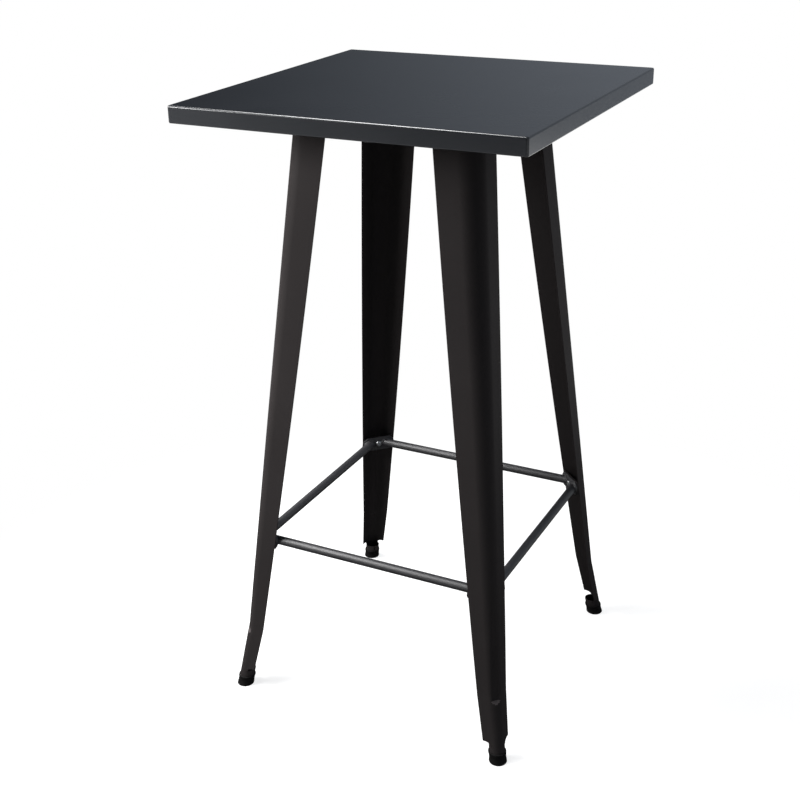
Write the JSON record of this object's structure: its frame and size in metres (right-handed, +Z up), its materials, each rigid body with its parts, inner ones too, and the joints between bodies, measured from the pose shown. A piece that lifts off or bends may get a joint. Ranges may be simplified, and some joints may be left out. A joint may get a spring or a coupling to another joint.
{
  "type": "pub table",
  "caption": "Square bar-height table in black sheet steel, with splayed tapered corner legs, a rod footrest ring and rubber feet.",
  "frame": {"origin": "on the floor under the middle of the top", "axes": "+Z up, -Y towards the front edge of the top, +X to the right along that edge; every side of the table is alike"},
  "size_m": [0.6, 0.6, 1.1],
  "materials": {
    "top_powder_coat": "satin black powder coat",
    "frame_powder_coat": "satin black powder coat",
    "leg_powder_coat": "satin black powder coat",
    "footrest_powder_coat": "satin black powder coat",
    "zinc_plated_steel": "bright zinc plate",
    "foot_rubber": "matt black rubber"
  },
  "bodies": {
    "root": {"table_top": "top_powder_coat", "top_rib_front": "frame_powder_coat", "top_rib_right": "frame_powder_coat", "top_rib_back": "frame_powder_coat", "top_rib_left": "frame_powder_coat", "frame_rail_front": "frame_powder_coat", "frame_rail_right": "frame_powder_coat", "frame_rail_back": "frame_powder_coat", "frame_rail_left": "frame_powder_coat", "leg_front_left": "leg_powder_coat", "leg_front_right": "leg_powder_coat", "leg_back_right": "leg_powder_coat", "leg_back_left": "leg_powder_coat", "bridge_plate_front_left": "leg_powder_coat", "bridge_plate_front_right": "leg_powder_coat", "bridge_plate_back_right": "leg_powder_coat", "bridge_plate_back_left": "leg_powder_coat", "footrest_plate_front_left": "footrest_powder_coat", "footrest_plate_front_right": "footrest_powder_coat", "footrest_plate_back_right": "footrest_powder_coat", "footrest_plate_back_left": "footrest_powder_coat", "footrest_rod_front": "footrest_powder_coat", "footrest_rod_right": "footrest_powder_coat", "footrest_rod_back": "footrest_powder_coat", "footrest_rod_left": "footrest_powder_coat", "footrest_screws": "zinc_plated_steel", "footrest_nuts": "zinc_plated_steel", "rubber_feet": "foot_rubber"}
  },
  "joints": []
}
